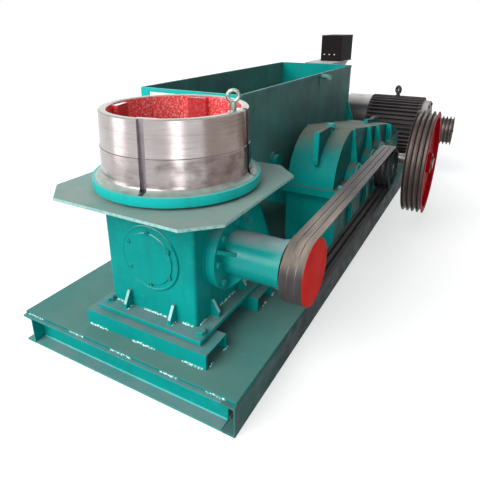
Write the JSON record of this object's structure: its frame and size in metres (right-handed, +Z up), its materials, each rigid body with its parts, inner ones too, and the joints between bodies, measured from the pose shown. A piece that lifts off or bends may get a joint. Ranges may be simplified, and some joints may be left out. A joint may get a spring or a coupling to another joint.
{
  "type": "wire drawing machine",
  "caption": "Wire drawing machine on a steel base: upright drum over a gear housing, belt drive, gear case, open water tank and a finned motor.",
  "frame": {"origin": "centre of the base, on the floor", "axes": "+Z up, +Y along the base from the drum to the motor, +X towards the belt side"},
  "size_m": [1.326, 3.6, 1.182],
  "materials": {
    "teal_paint": "gloss machine enamel",
    "worn_deck_paint": "dusty worn enamel",
    "drum_steel": "turned and ground",
    "red_paint": "gloss enamel",
    "pulley_iron": "turned grooves",
    "shaft_steel": "turned",
    "belt_rubber": "fabric-backed rubber",
    "motor_paint": "dark semi-gloss enamel",
    "fan_cover_paint": "pressed sheet, grey enamel",
    "black_paint": "powder coat",
    "zinc": "zinc plated"
  },
  "bodies": {
    "frame": {"base_left_channel": "teal_paint", "base_right_channel": "teal_paint", "base_front_channel": "teal_paint", "base_rear_channel": "teal_paint", "base_cross_channels": "teal_paint", "deck_plate": "worn_deck_paint", "plinth_channels": "teal_paint", "housing_foot": "teal_paint", "drum_housing": "teal_paint", "housing_cover": "teal_paint", "tube_flange": "teal_paint", "bearing_tube": "teal_paint", "drip_plate": "worn_deck_paint", "drive_belts": "belt_rubber", "gear_case": "teal_paint", "gear_hood": "teal_paint", "bearing_covers": "teal_paint", "breather_plug": "teal_paint", "tank_front_wall": "teal_paint", "tank_rear_wall": "teal_paint", "tank_left_wall": "teal_paint", "tank_right_wall": "teal_paint", "tank_floor": "teal_paint", "tank_legs": "teal_paint", "shaft_gland": "teal_paint", "control_box": "black_paint", "box_shelf": "fan_cover_paint", "motor_body": "motor_paint", "motor_fan_cover": "fan_cover_paint", "motor_shield": "fan_cover_paint", "motor_rails": "teal_paint", "motor_eyebolt": "motor_paint"},
    "drum": {"drum_flange": "teal_paint", "drum": "drum_steel", "drum_eyebolt": "zinc"},
    "front_pulley": {"front_pulley": "red_paint", "front_shaft": "shaft_steel"},
    "output_pulley": {"output_pulley": "pulley_iron", "output_shaft": "shaft_steel"},
    "input_pulley": {"input_pulley": "red_paint", "input_shaft": "shaft_steel"},
    "motor_pulley": {"motor_pulley": "pulley_iron", "motor_shaft": "shaft_steel"}
  },
  "joints": [
    {"name": "drum_spin", "type": "hinge", "parent": "frame", "child": "drum", "pos_m": [0.048, -1.418, 0.753], "axis": [0, 0, 1], "continuous": true},
    {"name": "front_pulley_spin", "type": "hinge", "parent": "frame", "child": "front_pulley", "pos_m": [0.58, -1.418, 0.459], "axis": [1, 0, 0], "continuous": true},
    {"name": "output_pulley_spin", "type": "hinge", "parent": "frame", "child": "output_pulley", "pos_m": [0.58, -0.113, 0.484], "axis": [1, 0, 0], "continuous": true},
    {"name": "input_pulley_spin", "type": "hinge", "parent": "frame", "child": "input_pulley", "pos_m": [0.745, 0.1, 0.484], "axis": [1, 0, 0], "continuous": true},
    {"name": "motor_pulley_spin", "type": "hinge", "parent": "frame", "child": "motor_pulley", "pos_m": [0.745, 1.437, 0.414], "axis": [1, 0, 0], "continuous": true}
  ],
  "couplings": [
    {"joint": "front_pulley_spin", "follows": "drum_spin", "ratio": 3},
    {"joint": "output_pulley_spin", "follows": "drum_spin", "ratio": 3},
    {"joint": "input_pulley_spin", "follows": "drum_spin", "ratio": -7.2}
  ]
}
